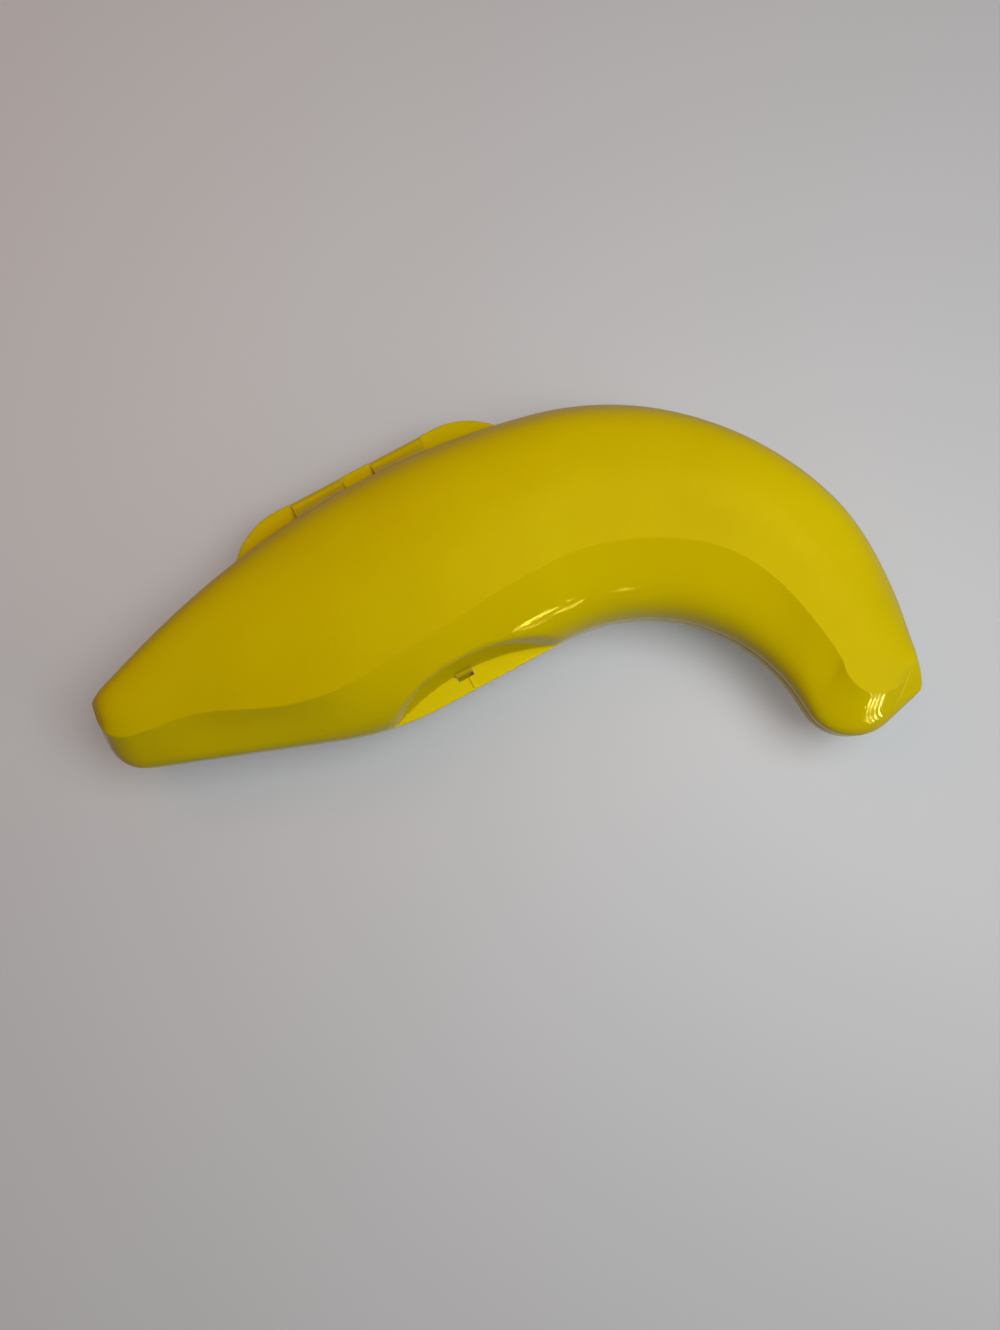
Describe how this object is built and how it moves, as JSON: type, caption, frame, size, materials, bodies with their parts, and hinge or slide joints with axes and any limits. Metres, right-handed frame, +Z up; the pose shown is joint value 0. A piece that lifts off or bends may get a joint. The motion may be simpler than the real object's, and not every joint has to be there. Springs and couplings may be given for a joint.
{
  "type": "banana carrying case",
  "caption": "Curved two-part moulded case that holds a banana: domed lid and base on a clipped barrel hinge, with a thumb recess, tab and hook catch.",
  "frame": {"origin": "centre of the bounding box in plan, on the surface that the case lies on", "axes": "+X along the length from the stem end to the tip, +Y from the catch side towards the hinge side, +Z up"},
  "size_m": [0.2512, 0.1136, 0.049],
  "materials": {
    "base_plastic": "moulded polypropylene, smooth",
    "lid_plastic": "moulded polypropylene, fine grained field with a smooth band"
  },
  "bodies": {
    "base": {"base_shell": "base_plastic", "hinge_flange_left": "base_plastic", "hinge_knuckle_middle": "base_plastic", "hinge_flange_right": "base_plastic", "hinge_pin_left": "base_plastic", "hinge_pin_right": "base_plastic", "catch_tab": "base_plastic"},
    "lid": {"lid_shell": "lid_plastic", "hinge_barrel_left": "lid_plastic", "hinge_barrel_right": "lid_plastic", "catch_hook": "lid_plastic"}
  },
  "joints": [
    {"name": "lid_hinge", "type": "hinge", "parent": "base", "child": "lid", "pos_m": [-0.04657, 0.03468, 0.0225], "axis": [-0.8788, -0.4772, 0], "range_deg": [0, 173]}
  ]
}
